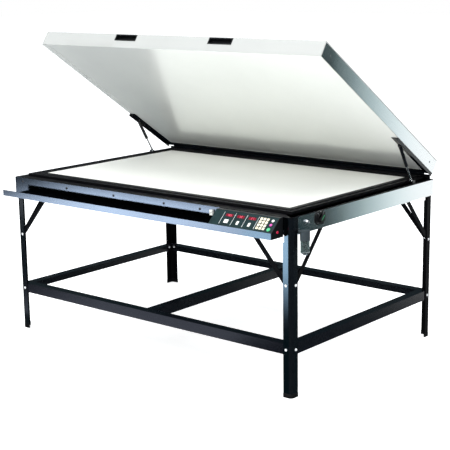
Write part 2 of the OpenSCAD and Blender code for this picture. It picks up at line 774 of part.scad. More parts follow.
// Bracket on the ledge at each strut's foot; the stud's end stays clear of the rod's end
module strut_feet() color(satin_black) home() for (side = [-1, 1]) mirror([side > 0 ? 0 : 1, 0, 0]) {
    cheek_x = strut_x + eye_w / 2 + 4.5;
    block(cheek_x - 2, half_w - 2, foot_y - 22, foot_y + 22, ledge_z, ledge_z + sheet);
    block(cheek_x, cheek_x + 3, foot_y - 12, foot_y + 12, ledge_z, foot_z + 7);
    translate([0, foot_y, foot_z]) rod_along_x(strut_x + eye_w / 2 + 0.6, cheek_x + 1, stud_r);
}

// ---- Gas struts, drawn with +X along the strut from its lid pin ----

tube_start = 10;
tube_end = tube_start + strut_tube;

module strut_cylinder(side) color(satin_black) on_strut(side) {
    difference() {
        union() {
            rod_along_x(tube_start, tube_end, strut_r);
            rotate([90, 0, 0]) translate([0, 0, -eye_w / 2]) cylinder(r = eye_r, h = eye_w);
            rod_along_x(5, tube_start + 1, 5);
        }
        rotate([90, 0, 0]) translate([0, 0, -eye_w]) cylinder(r = stud_r + 0.05, h = 2 * eye_w);
        rod_along_x(tube_start + 6, tube_end - 6, strut_r - 1.5);
        rod_along_x(tube_end - 7, tube_end + 1, rod_r + 0.1);
    }
}

module strut_rod(side) color(zinc) on_strut(side) {
    foot_eye = 7;
    rod_along_x(tube_end - 22, strut_len - foot_eye + 1, rod_r);
    rod_along_x(tube_end - 22, tube_end - 14, strut_r - 1.7);
    rod_along_x(strut_len - 17, strut_len - foot_eye + 1, 5.5);
    translate([strut_len, 0, 0]) rotate([90, 0, 0]) translate([0, 0, -eye_w / 2]) cylinder(r = foot_eye, h = eye_w);
}

module strut_cylinder_left() strut_cylinder(-1);
module strut_cylinder_right() strut_cylinder(1);
module strut_rod_left() strut_rod(-1);
module strut_rod_right() strut_rod(1);

leg_front_left();
leg_front_right();
leg_rear_left();
leg_rear_right();
leg_feet();
rail_front();
rail_rear();
rail_left();
rail_right();
rail_cross();
leg_braces();
stand_bolts();
side_panel_left();
side_panel_right();
rear_panel();
front_panel();
bottom_pan();
table_ledge();
bed_beams();
bed_board();
seal_frame();
lid_gasket();
trough();
trough_screws();
service_socket();
console_housing();
console_end_plate();
console_fascia();
display_modules();
keypad_mat();
rocker_temperature();
rocker_time();
rocker_vacuum();
button_select();
button_stop();
button_start();
control_board();
pilot_lamp();
switch_plate();
switch_knob();
vacuum_port();
filter_head();
filter_bowl();
filter_drain();
vacuum_pump();
pump_hose();
hinge_base_leaves();
hinge_lid_leaves();
hinge_pins();
lid_shell();
heated_platen();
heater_mat();
lid_insulation();
pull_cups();
lid_edge_angles();
strut_feet();
strut_cylinder_left();
strut_cylinder_right();
strut_rod_left();
strut_rod_right();
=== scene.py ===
"""Looks of the hot vacuum press: finishes, rounded shells, small details, floor, light and camera."""
import json
import math

import bmesh
import bpy
from mathutils import Matrix, Vector


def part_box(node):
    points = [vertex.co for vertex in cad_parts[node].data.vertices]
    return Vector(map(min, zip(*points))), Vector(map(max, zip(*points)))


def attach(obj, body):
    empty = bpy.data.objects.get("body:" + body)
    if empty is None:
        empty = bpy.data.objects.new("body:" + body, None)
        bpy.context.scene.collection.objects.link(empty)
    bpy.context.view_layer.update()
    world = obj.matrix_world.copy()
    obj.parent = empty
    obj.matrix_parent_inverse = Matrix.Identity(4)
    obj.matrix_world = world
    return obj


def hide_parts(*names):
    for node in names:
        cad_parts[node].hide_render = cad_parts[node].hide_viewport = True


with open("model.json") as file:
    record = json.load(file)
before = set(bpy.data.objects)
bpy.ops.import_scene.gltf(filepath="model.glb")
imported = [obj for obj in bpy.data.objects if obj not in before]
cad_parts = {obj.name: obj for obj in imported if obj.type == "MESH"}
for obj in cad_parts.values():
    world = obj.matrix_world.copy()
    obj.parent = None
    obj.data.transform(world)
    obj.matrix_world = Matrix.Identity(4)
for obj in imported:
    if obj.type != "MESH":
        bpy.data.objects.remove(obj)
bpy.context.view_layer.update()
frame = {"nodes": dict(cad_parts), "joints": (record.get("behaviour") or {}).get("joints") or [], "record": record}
NODES = frame["nodes"]
JOINTS = {joint["name"]: joint for joint in frame["joints"]}
BODY_OF = {n: b for b, names in frame["record"]["behaviour"]["bodies"].items() for n in names}

MM = 0.001
GAP = 0.2 * MM
WELD = 0.01 * MM


# ---- Camera, light and floor ----

def make_camera():
    """Seen from the right front, a little above the bed."""
    place = Vector((4.1546, -4.8978, 2.0085))
    yaw, pitch, roll = (math.radians(a) for a in (-40.14, 12.17, -0.81))
    forward = Vector((math.sin(yaw) * math.cos(pitch), math.cos(yaw) * math.cos(pitch), -math.sin(pitch)))
    level_right = Vector((math.cos(yaw), -math.sin(yaw), 0))
    level_up = level_right.cross(forward)
    right = math.cos(roll) * level_right + math.sin(roll) * level_up
    up = right.cross(forward)
    data = bpy.data.cameras.new("camera")
    data.sensor_width = 36
    data.lens = 94.52
    camera = bpy.data.objects.new("camera", data)
    turn = Matrix((right, up, -forward)).transposed().to_4x4()
    camera.matrix_world = Matrix.Translation(place) @ turn
    bpy.context.scene.collection.objects.link(camera)
    bpy.context.scene.camera = camera


def area_light(name, place, target, size, power, colour):
    data = bpy.data.lights.new(name, "AREA")
    data.shape = "RECTANGLE"
    data.size, data.size_y = size
    data.energy = power
    data.color = colour
    light = bpy.data.objects.new(name, data)
    light.location = place
    light.rotation_euler = (Vector(target) - Vector(place)).to_track_quat("-Z", "Y").to_euler()
    light.visible_camera = False
    bpy.context.scene.collection.objects.link(light)


def reflection_card(name, corners, colour, strength, stops, dim_colour=None):
    """A studio card that only shows in glossy reflections.

    Its light fades along its first edge, and may turn to dim_colour as it does.
    """
    mesh = bpy.data.meshes.new(name)
    mesh.from_pydata([Vector(c) for c in corners], [], [(0, 1, 2, 3)])
    layer = mesh.uv_layers.new(name="UVMap")
    for loop, uv in zip(layer.data, ((0, 0), (1, 0), (1, 1), (0, 1))):
        loop.uv = uv
    card = bpy.data.objects.new(name, mesh)
    finish = bpy.data.materials.new(name)
    finish.use_nodes = True
    tree = finish.node_tree
    tree.nodes.clear()
    output = tree.nodes.new("ShaderNodeOutputMaterial")
    glow = tree.nodes.new("ShaderNodeEmission")
    glow.inputs["Color"].default_value = (*colour, 1)
    uv = tree.nodes.new("ShaderNodeUVMap")
    split = tree.nodes.new("ShaderNodeSeparateXYZ")
    fade = tree.nodes.new("ShaderNodeMapRange")
    fade.interpolation_type = "SMOOTHSTEP"
    fade.inputs["From Min"].default_value, fade.inputs["From Max"].default_value = stops
    fade.inputs["To Max"].default_value = strength
    tree.links.new(uv.outputs["UV"], split.inputs[0])
    tree.links.new(split.outputs["X"], fade.inputs["Value"])
    if dim_colour:
        tint = tree.nodes.new("ShaderNodeValToRGB")
        tint.color_ramp.elements[0].position, tint.color_ramp.elements[1].position = stops
        tint.color_ramp.elements[0].color = (*dim_colour, 1)
        tint.color_ramp.elements[1].color = (*colour, 1)
        tree.links.new(split.outputs["X"], tint.inputs["Fac"])
        tree.links.new(tint.outputs["Color"], glow.inputs["Color"])
    tree.links.new(fade.outputs["Result"], glow.inputs["Strength"])
    tree.links.new(glow.outputs[0], output.inputs["Surface"])
    mesh.materials.append(finish)
    bpy.context.scene.collection.objects.link(card)
    card.visible_camera = False
    card.visible_diffuse = False
    card.visible_shadow = False
    card.visible_transmission = False


def make_world():
    """White behind the object; reflections see a dark room under a bright ceiling."""
    world = bpy.data.worlds.new("studio")
    bpy.context.scene.world = world
    world.use_nodes = True
    tree = world.node_tree
    tree.nodes.clear()
    output = tree.nodes.new("ShaderNodeOutputWorld")
    seen = tree.nodes.new("ShaderNodeBackground")
    seen.inputs["Color"].default_value = (1, 1, 1, 1)
    fill = tree.nodes.new("ShaderNodeBackground")
    ways = tree.nodes.new("ShaderNodeLightPath")
    mix = tree.nodes.new("ShaderNodeMixShader")
    coords = tree.nodes.new("ShaderNodeTexCoord")
    split = tree.nodes.new("ShaderNodeSeparateXYZ")
    ramp = tree.nodes.new("ShaderNodeValToRGB")
    room, ceiling = ramp.color_ramp.elements
    room.position, room.color = 0.70, (0.015, 0.036, 0.041, 1)
    ceiling.position, ceiling.color = 0.92, (1.10, 1.15, 1.20, 1)
    height = tree.nodes.new("ShaderNodeMapRange")
    height.inputs["From Min"].default_value = -1
    tree.links.new(coords.outputs["Generated"], split.inputs[0])
    tree.links.new(split.outputs["Z"], height.inputs["Value"])
    tree.links.new(height.outputs["Result"], ramp.inputs["Fac"])
    tree.links.new(ramp.outputs["Color"], fill.inputs["Color"])
    tree.links.new(ways.outputs["Is Camera Ray"], mix.inputs["Fac"])
    tree.links.new(fill.outputs[0], mix.inputs[1])
    tree.links.new(seen.outputs[0], mix.inputs[2])
    tree.links.new(mix.outputs[0], output.inputs["Surface"])


def make_floor():
    """Plain pale paper that fades into the white behind it."""
    floor = bpy.data.objects.new("floor", bpy.data.meshes.new("floor"))
    reach = 40
    corners = [(-reach, -reach, 0), (reach, -reach, 0), (reach, reach, 0), (-reach, reach, 0)]
    floor.data.from_pydata(corners, [], [(0, 1, 2, 3)])
    bpy.context.scene.collection.objects.link(floor)
    floor.visible_glossy = False
    paper = bpy.data.materials.new("studio_paper")
    paper.use_nodes = True
    shader = paper.node_tree.nodes["Principled BSDF"]
    shader.inputs["Base Color"].default_value = (0.80, 0.80, 0.80, 1)
    shader.inputs["Roughness"].default_value = 0.9
    shader.inputs["Specular IOR Level"].default_value = 0.0
    shader.inputs["Emission Color"].default_value = (1, 1, 1, 1)
    shader.inputs["Emission Strength"].default_value = 0.72
    floor.data.materials.append(paper)


def floor_card(name, x, y, lift, *light):
    """A rectangular reflection card just above the floor; its light fades along X."""
    corners = [(x[0], y[0], lift), (x[1], y[0], lift), (x[1], y[1], lift), (x[0], y[1], lift)]
    reflection_card(name, corners, *light)


def make_lights():
    """Soft lights, and the cards whose reflections the bright stretches of the metal show."""
    area_light("key_light", (1.5, -5.8, 4.4), (0, 0.2, 0.8), (5, 3), 350, (1, 0.99, 0.97))
    area_light("top_light", (0, 0.5, 6.5), (0, 0, 0), (7, 7), 400, (1, 1, 1))
    area_light("left_light", (-6.5, -2.5, 3.2), (0, 0, 0.8), (3, 3), 75, (0.92, 0.96, 1))
    low, high = 4 * MM, 5 * MM
    sky = (0.80, 0.90, 1.0)
    floor_card("front_card", (-5.6, -2.6), (-3.1, -3.95), low, sky, 6, (0.26, 0.74))
    floor_card("console_card", (-1.0, -2.6), (-3.1, -3.95), low, sky, 6, (-0.5, 1.0))
    leg_corners = [(0.35, -1.5, high), (-1.35, -3.96, high), (-1.85, -3.96, high), (-0.1, -1.5, high)]
    reflection_card("leg_card", leg_corners, (0.62, 0.88, 1.0), 4.0, (0.0, 0.6))
    floor_card("rail_card", (-1.9, 0.2), (-1.5, -0.8), low, (0.72, 0.80, 1.0), 1.2, (0.0, 0.5))
    side_corners = [(5.6, 6, -1.6), (2.4, 6, -1.6), (2.4, 6, 2.4), (5.5, 6, 2.4)]
    reflection_card("side_card", side_corners, (1.0, 1.0, 1.0), 1.15, (0.02, 0.46), (0.55, 0.95, 1.0))


def make_studio():
    bpy.context.scene.view_settings.view_transform = "Standard"
    make_world()
    make_floor()
    make_lights()


# ---- Finishes ----

FINISHES = {}


def grain_nodes(tree, scale, stretch=(1, 1, 1)):
    """Noise over the piece's own coordinates."""
    coords = tree.nodes.new("ShaderNodeTexCoord")
    mapping = tree.nodes.new("ShaderNodeMapping")
    mapping.inputs["Scale"].default_value = stretch
    noise = tree.nodes.new("ShaderNodeTexNoise")
    noise.inputs["Scale"].default_value = scale
    noise.inputs["Detail"].default_value = 4
    tree.links.new(coords.outputs["Object"], mapping.inputs["Vector"])
    tree.links.new(mapping.outputs["Vector"], noise.inputs["Vector"])
    return noise.outputs["Fac"]


def ranged(tree, value, low, high):
    step = tree.nodes.new("ShaderNodeMapRange")
    step.inputs["From Min"].default_value = 0.3
    step.inputs["From Max"].default_value = 0.7
    step.inputs["To Min"].default_value = low
    step.inputs["To Max"].default_value = high
    tree.links.new(value, step.inputs["Value"])
    return step.outputs["Result"]


def finish(name, colour, rough, vary=0.08, patch=6, grain=900, bump=0.15, depth=0.00006,
           stretch=(1, 1, 1), scuff=0.0, **extra):
    """Adds a painted, moulded or metal finish: cloudy colour, uneven gloss, fine grain, light scuffs."""
    made = bpy.data.materials.new(name)
    made.use_nodes = True
    tree = made.node_tree
    shader = tree.nodes["Principled BSDF"]
    for key, value in extra.items():
        shader.inputs[key.replace("_", " ")].default_value = value
    clouds = grain_nodes(tree, patch, stretch)
    mix = tree.nodes.new("ShaderNodeMix")
    mix.data_type = "RGBA"
    mix.inputs["A"].default_value = (*(c * (1 - vary) for c in colour), 1)
    mix.inputs["B"].default_value = (*(min(c * (1 + vary), 1) for c in colour), 1)
    tree.links.new(ranged(tree, clouds, 0, 1), mix.inputs["Factor"])
    last = mix.outputs["Result"]
    if scuff:
        marks = grain_nodes(tree, 55, (1, 1, 9))
        worn = tree.nodes.new("ShaderNodeMapRange")
        worn.inputs["From Min"].default_value = 0.70
        worn.inputs["From Max"].default_value = 0.76
        worn.inputs["To Max"].default_value = scuff
        tree.links.new(marks, worn.inputs["Value"])
        over = tree.nodes.new("ShaderNodeMix")
        over.data_type = "RGBA"
        over.inputs["B"].default_value = (0.32, 0.33, 0.34, 1)
        tree.links.new(worn.outputs["Result"], over.inputs["Factor"])
        tree.links.new(last, over.inputs["A"])
        last = over.outputs["Result"]
    tree.links.new(last, shader.inputs["Base Color"])
    tree.links.new(ranged(tree, clouds, rough * 0.85, min(rough * 1.2, 1)), shader.inputs["Roughness"])
    ripple = tree.nodes.new("ShaderNodeBump")
    ripple.inputs["Strength"].default_value = bump
    ripple.inputs["Distance"].default_value = depth
    tree.links.new(grain_nodes(tree, grain, stretch), ripple.inputs["Height"])
    tree.links.new(ripple.outputs["Normal"], shader.inputs["Normal"])
    FINISHES[name] = made


finish("black_enamel", (0.003, 0.004, 0.006), 0.18, scuff=0.02, bump=0.03)
finish("flat_black", (0.002, 0.002, 0.003), 0.5, scuff=0.02, Specular_IOR_Level=0.12)
finish("rail_enamel", (0.004, 0.004, 0.007), 0.24, scuff=0.03, bump=0.03)
finish("side_metal", (0.84, 0.88, 0.89), 0.11, vary=0.03, grain=300, bump=0.0, Metallic=0.98)
# The lid is white; its skin gets this grey as painted shade, to hold it down under the strong key and top lights.
finish("lid_enamel", (0.42, 0.43, 0.42), 0.34, vary=0.02, patch=3)
finish("platen_coat", (0.90, 0.92, 0.90), 0.18, vary=0.02, patch=3, grain=500, Metallic=0.50)
finish("bed_laminate", (0.88, 0.88, 0.84), 0.55, vary=0.02, patch=3, grain=1400)
finish("zinc", (0.72, 0.74, 0.77), 0.28, vary=0.10, patch=60, Metallic=1.0)
finish("gasket_rubber", (0.004, 0.004, 0.005), 0.7, vary=0.2, bump=0.4, Specular_IOR_Level=0.2)
finish("foot_plastic", (0.004, 0.004, 0.005), 0.6, bump=0.3, depth=0.0001, Specular_IOR_Level=0.2)
finish("console_plastic", (0.006, 0.007, 0.008), 0.35, bump=0.3, Specular_IOR_Level=0.25)
finish("fascia_film", (0.006, 0.020, 0.022), 0.38, vary=0.25, patch=25, Specular_IOR_Level=0.12)
finish("display_red", (0.17, 0.003, 0.015), 0.3, Specular_IOR_Level=0.1)
finish("key_cream", (0.86, 0.80, 0.62), 0.5, patch=90)
finish("key_white", (0.88, 0.89, 0.86), 0.45, patch=60)
finish("key_magenta", (0.72, 0.07, 0.42), 0.45, patch=60)
finish("key_green", (0.05, 0.42, 0.17), 0.45, patch=60)
finish("board_green", (0.01, 0.09, 0.03), 0.5, patch=60)
finish("lamp_red", (0.55, 0.015, 0.06), 0.12, Coat_Weight=0.7)
finish("switch_black", (0.006, 0.006, 0.007), 0.38, bump=0.3, Specular_IOR_Level=0.3)
finish("filter_alloy", (0.05, 0.065, 0.075), 0.35, patch=40, Metallic=0.3)
finish("pump_cast", (0.09, 0.09, 0.10), 0.55, bump=0.6, depth=0.0003)
finish("hose_black", (0.015, 0.015, 0.015), 0.55, bump=0.3)
finish("heater_orange", (0.45, 0.14, 0.04), 0.6, patch=50)
finish("insulation", (0.65, 0.58, 0.35), 0.95, vary=0.25, patch=120, bump=0.8, depth=0.001)
finish("rod_chrome", (0.82, 0.83, 0.85), 0.10, vary=0.02, Metallic=1.0)
finish("bowl_clear", (0.22, 0.29, 0.29), 0.08, Transmission_Weight=0.85, IOR=1.3)
finish("print_white", (0.80, 0.84, 0.84), 0.5, patch=60)
finish("print_dark", (0.03, 0.03, 0.035), 0.5, patch=60)
finish("print_orange", (0.75, 0.22, 0.03), 0.5, patch=60)
finish("segment_red", (0.85, 0.10, 0.16), 0.3, patch=60, Emission_Color=(1, 0.12, 0.2, 1),
       Emission_Strength=0.4)
finish("bolt_bright", (0.90, 0.92, 0.95), 0.4, patch=60, Metallic=0.25)
finish("element_dark", (0.05, 0.05, 0.045), 0.8, patch=60)
# Bright metal for faces chosen by their facing: a painted highlight on the black leg and trough, and on the
# trough's lip also a pale metal trim.
finish("trim_and_painted_highlight", (0.13, 0.148, 0.18), 0.12, vary=0.05, patch=4, bump=0.0, Metallic=1.0)

NODE_SLOTS = {
    "black_enamel": ["leg_front_left", "leg_front_right", "leg_rear_left", "leg_rear_right", "leg_braces",
                     "rear_panel", "front_panel", "table_ledge", "seal_frame", "trough", "lid_edge_angles",
                     "strut_feet", "strut_cylinder_left", "strut_cylinder_right"],
    "rail_enamel": ["rail_front", "rail_rear", "rail_left", "rail_right", "rail_cross", "bottom_pan"],
    "side_metal": ["side_panel_left", "side_panel_right"],
    "lid_enamel": ["lid_shell"],
    "platen_coat": ["heated_platen"],
    "bed_laminate": ["bed_board"],
    "zinc": ["stand_bolts", "trough_screws", "bed_beams", "vacuum_port", "filter_drain", "hinge_base_leaves",
             "hinge_lid_leaves", "hinge_pins"],
    "gasket_rubber": ["lid_gasket"],
    "foot_plastic": ["leg_feet"],
    "console_plastic": ["console_housing", "console_end_plate", "pull_cups"],
    "fascia_film": ["console_fascia"],
    "display_red": ["display_modules"],
    "key_cream": ["keypad_mat"],
    "key_white": ["rocker_temperature", "rocker_time", "rocker_vacuum", "button_select", "service_socket"],
    "key_magenta": ["button_stop"],
    "key_green": ["button_start"],
    "board_green": ["control_board"],
    "lamp_red": ["pilot_lamp"],
    "switch_black": ["switch_plate", "switch_knob"],
    "filter_alloy": ["filter_head"],
    "bowl_clear": ["filter_bowl"],
    "pump_cast": ["vacuum_pump"],
    "hose_black": ["pump_hose"],
    "heater_orange": ["heater_mat"],
    "insulation": ["lid_insulation"],
    "rod_chrome": ["strut_rod_left", "strut_rod_right"],
}
SLOT_OF = {node: slot for slot, names in NODE_SLOTS.items() for node in names}


# ---- Mesh helpers ----

def place_piece(name, mesh, slot, body, look=None):
    """Adds a mesh as a piece with a finish, that of look if given and else that of slot, and the body that it
    rides on.
    """
    piece = bpy.data.objects.new(name, mesh)
    bpy.context.scene.collection.objects.link(piece)
    mesh.materials.clear()
    mesh.materials.append(FINISHES[look or slot])
    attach(piece, body)
    return piece


def smooth(mesh, angle=35):
    mesh.shade_smooth()
    mesh.set_sharp_from_angle(angle=math.radians(angle))


def baked(mesh, modifiers):
    """The mesh after modifiers, each given as its type and its settings."""
    carrier = bpy.data.objects.new("carrier", mesh)
    bpy.context.scene.collection.objects.link(carrier)
    for kind, settings in modifiers:
        modifier = carrier.modifiers.new(kind, kind)
        for key, value in settings.items():
            setattr(modifier, key, value)
    shown = carrier.evaluated_get(bpy.context.evaluated_depsgraph_get())
    result = bpy.data.meshes.new_from_object(shown)
    bpy.data.objects.remove(carrier)
    return result


def rounded(mesh, width, segments=2, angle=40):
    smooth(mesh)
    return baked(mesh, [
        ("BEVEL", {"width": width, "segments": segments, "limit_method": "ANGLE",
                   "angle_limit": math.radians(angle), "use_clamp_overlap": True}),
        ("WEIGHTED_NORMAL", {"keep_sharp": True, "weight": 100}),
    ])


def clean_copy(node):
    """A copy of a CAD node's mesh, with its flat faces joined into single faces."""
    bm = bmesh.new()
    bm.from_mesh(NODES[node].data)
    bmesh.ops.remove_doubles(bm, verts=bm.verts, dist=WELD)
    bmesh.ops.dissolve_limit(bm, angle_limit=math.radians(0.6), verts=bm.verts, edges=bm.edges)
    mesh = bpy.data.meshes.new(node)
    faces = [[v.index for v in f.verts] for f in bm.faces]
    mesh.from_pydata([v.co.copy() for v in bm.verts], [], faces)
    bm.free()
    mesh.validate()
    return mesh


def soften(node, width, segments=2, look=None):
    """Stands a copy with rounded edges in a CAD node's place."""
    mesh = rounded(clean_copy(node), width, segments)
    piece = place_piece(node + "_shell", mesh, SLOT_OF[node], BODY_OF[node], look)
    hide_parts(node)
    return piece


def paint_highlight(piece, chosen):
    """Gives the faces that chosen() names the bright metal finish: a painted highlight on black parts, and on the
    trough's lip also a pale metal trim.
    """
    piece.data.materials.append(FINISHES["trim_and_painted_highlight"])
    for face in piece.data.polygons:
        if chosen(face):
            face.material_index = 1


def merged(parts):
    """One mesh from several, each given as a mesh and its matrix."""
    bm = bmesh.new()
    for mesh, matrix in parts:
        copy = mesh.copy()
        copy.transform(matrix)
        bm.from_mesh(copy)
    result = bpy.data.meshes.new("merged")
    bm.to_mesh(result)
    bm.free()
    return result


def lathe(outline, steps=32):
    """Turns an outline of (radius, height) points about Z."""
    bm = bmesh.new()
    rings = []
    for radius, height in outline:
        if radius < 1e-6:
            rings.append([bm.verts.new((0, 0, height))])
            continue
        angles = [2 * math.pi * k / steps for k in range(steps)]
        rings.append([bm.verts.new((radius * math.cos(a), radius * math.sin(a), height)) for a in angles])
    for low, high in zip(rings, rings[1:]):
        for k in range(steps):
            after = (k + 1) % steps
            corners = [low[k % len(low)], low[after % len(low)],
                       high[after % len(high)], high[k % len(high)]]
            face = list(dict.fromkeys(corners))
            if len(face) > 2:
                bm.faces.new(face)
    bmesh.ops.recalc_face_normals(bm, faces=bm.faces)
    mesh = bpy.data.meshes.new("lathe")
    bm.to_mesh(mesh)
    bm.free()
    smooth(mesh)
    return mesh


def slab(size, bevel=0.0, segments=2):
    """A block of that size about the origin, with rounded edges."""
    bm = bmesh.new()
    bmesh.ops.create_cube(bm, size=1)
    bmesh.ops.scale(bm, vec=size, verts=bm.verts)
    mesh = bpy.data.meshes.new("slab")
    bm.to_mesh(mesh)
    bm.free()
    return rounded(mesh, bevel, segments) if bevel else mesh


def loose_boxes(node, back=Matrix.Identity(4)):
    """The lowest and highest corners of a CAD node's separate solids, after the matrix back, in order."""
    bm = bmesh.new()
    bm.from_mesh(NODES[node].data)
    bm.transform(back)
    bmesh.ops.remove_doubles(bm, verts=bm.verts, dist=WELD)
    left = set(bm.verts)
    boxes = []
    while left:
        group, queue = set(), [left.pop()]
        while queue:
            vert = queue.pop()
            group.add(vert)
            for edge in vert.link_edges:
                other = edge.other_vert(vert)
                if other in left:
                    left.discard(other)
                    queue.append(other)
        low = Vector(min(v.co[i] for v in group) for i in range(3))
        high = Vector(max(v.co[i] for v in group) for i in range(3))
        boxes.append((low, high))
    bm.free()
    return sorted(boxes, key=lambda box: tuple(box[0]))


def local_box(node, matrix):
    """A CAD node's box in the coordinates of a tilted frame."""
    back = matrix.inverted()
    points = [back @ v.co for v in NODES[node].data.vertices]
    low = Vector(min(p[i] for p in points) for i in range(3))
    high = Vector(max(p[i] for p in points) for i in range(3))
    return low, high


# Lid frame: origin on the hinge line, Y towards the lid's rear face, Z through the closed lid
lid_hinge = JOINTS["lid_hinge"]
LID = (Matrix.Translation(Vector(lid_hinge["pos_m"]))
       @ Matrix.Rotation(-math.radians(lid_hinge["range_deg"][1]), 4, "X"))

# Slope frame: Z out of the console's face, X along the console
down = Vector(JOINTS["button_stop_press"]["axis"])
SLOPE_TURN = Matrix((Vector((1, 0, 0)), (-down).cross(Vector((1, 0, 0))), -down)).transposed().to_4x4()
fascia_low, fascia_high = local_box("console_fascia", SLOPE_TURN)
SLOPE = SLOPE_TURN @ Matrix.Translation((0, fascia_low.y, fascia_high.z))


# ---- Pieces ----

def make_stand():
    soften("leg_front_left", 0.8 * MM)
    # The front right leg's front face takes the bright metal finish as a painted highlight; the rest of the leg is
    # black enamel.
    paint_highlight(soften("leg_front_right", 0.8 * MM), lambda face: face.normal.y < -0.98)
    for node in ("leg_rear_left", "leg_rear_right"):
        soften(node, 0.8 * MM, look="flat_black")
    for node in ("rail_front", "rail_rear", "rail_left", "rail_right", "rail_cross"):
        soften(node, 0.8 * MM)
    soften("leg_braces", 0.8 * MM, look="flat_black")
    soften("leg_feet", 1.5 * MM)
    make_stand_bolts()


def bolt_mesh(length, head_radius, head_height, shank_radius, nut_radius, nut_height):
    """Domed bolt along +Z with its head at the bottom, a shank and a nut near the top."""
    end_chamfer, nut_chamfer, thread_past_nut = 0.8 * MM, 0.6 * MM, 2 * MM
    dome = head_height * 0.75
    arc = [(head_radius * math.sin(math.radians(a)), dome * (1 - math.cos(math.radians(a))))
           for a in range(0, 91, 15)]
    rim = [(head_radius, head_height * 0.85), (head_radius * 0.98, head_height), (0, head_height)]
    head = lathe(arc + rim, 24)
    shank = lathe([(0, head_height), (shank_radius, head_height), (shank_radius, length - end_chamfer),
                   (shank_radius - end_chamfer, length), (0, length)], 16)
    nut_low = length - thread_past_nut - nut_height
    nut = lathe([(0, 0), (nut_radius - nut_chamfer, 0), (nut_radius, nut_chamfer),
                 (nut_radius, nut_height - nut_chamfer), (nut_radius - nut_chamfer, nut_height),
                 (0, nut_height)], 6)
    return merged([(head, Matrix.Identity(4)), (shank, Matrix.Identity(4)),
                   (nut, Matrix.Translation((0, 0, nut_low)))])


def make_stand_bolts():
    """Each bolt lies along the axis in which its solid is longest; its head points away from the stand."""
    parts = []
    for low, high in loose_boxes("stand_bolts"):
        size, middle = high - low, (low + high) / 2
        axis = max(range(3), key=lambda i: size[i])
        head_radius = min(size) / 2 * 0.98
        nut_radius = min(size) / 2 * 0.99
        shank_radius, nut_height = (4 * MM, 5.5 * MM) if axis < 2 else (3.6 * MM, 4.6 * MM)
        inward = Vector((0, 0, 0))
        inward[axis] = 1 if axis == 2 or middle[axis] < 0 else -1
        start = middle - inward * size[axis] / 2
        mesh = bolt_mesh(size[axis], head_radius, 5 * MM, shank_radius, nut_radius, nut_height)
        turn = inward.to_track_quat("Z", "X").to_matrix().to_4x4()
        parts.append((mesh, Matrix.Translation(start) @ turn))
    mesh = merged(parts)
    smooth(mesh)
    piece = place_piece("stand_bolts_domed", mesh, "zinc", "table", "bolt_bright")
    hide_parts("stand_bolts")


def make_table():
    for node in ("side_panel_left", "side_panel_right", "rear_panel"):
        soften(node, 0.6 * MM)
    soften("table_ledge", 1.0 * MM, look="flat_black")
    soften("seal_frame", 1.6 * MM, 3, "flat_black")
    soften("bed_board", 1.5 * MM, 3)
    make_gasket()


def rounded_path(low, high, radius, steps=6):
    """Points round a rectangle with rounded corners, counter-clockwise."""
    points = []
    corners = ((high.x, high.y, 0), (low.x, high.y, 90), (low.x, low.y, 180), (high.x, low.y, 270))
    for x, y, start in corners:
        centre_x = x - math.copysign(radius, x - (low.x + high.x) / 2)
        centre_y = y - math.copysign(radius, y - (low.y + high.y) / 2)
        for k in range(steps + 1):
            a = math.radians(start + 90 * k / steps)
            points.append(Vector((centre_x + radius * math.cos(a), centre_y + radius * math.sin(a), 0)))
    return points


def swept_ring(path, profile):
    """Sweeps a closed profile of (out, up) points round a closed flat path."""
    bm = bmesh.new()
    count = len(path)
    rows = []
    for k, point in enumerate(path):
        along = (path[(k + 1) % count] - path[k - 1]).normalized()
        out = Vector((along.y, -along.x, 0))
        rows.append([bm.verts.new(point + out * a + Vector((0, 0, b))) for a, b in profile])
    for k in range(count):
        this, after = rows[k], rows[(k + 1) % count]
        for i in range(len(profile)):
            j = (i + 1) % len(profile)
            bm.faces.new((this[i], after[i], after[j], this[j]))
    bmesh.ops.recalc_face_normals(bm, faces=bm.faces)
    mesh = bpy.data.meshes.new("ring")
    bm.to_mesh(mesh)
    bm.free()
    smooth(mesh, 50)
    return mesh


def make_gasket():
    """Bulb seal: a flat foot in the groove and a round top."""
    low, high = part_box("lid_gasket")
    half = 5.6 * MM
    inset = Vector((half + GAP, half + GAP, 0))
    path = rounded_path(low + inset, high - inset, 12 * MM)
    top = high.z - low.z - half
    bulb = [(half * math.cos(math.radians(a)), top + half * math.sin(math.radians(a)))
            for a in range(0, 181, 20)]
    profile = [(-half * 0.8, 0), (half * 0.8, 0)] + bulb
    mesh = swept_ring([p + Vector((0, 0, low.z)) for p in path], profile)
    piece = place_piece("lid_gasket_bulb", mesh, "gasket_rubber", "table")
    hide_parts("lid_gasket")


def make_trough():
    """The trough keeps its shape; its front lip and its back wall take the bright metal finish, on the back wall
    as a painted highlight and on the lip as a pale metal trim that also carries a painted highlight.
    """
    low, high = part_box("trough")
    near = 3 * MM
    paint_highlight(soften("trough", 0.7 * MM), lambda face: face.normal.y < -0.5
           and (face.center.y < low.y + near or face.center.y > high.y - near))
    make_trough_screws()
    soften("service_socket", 1.5 * MM, 3)


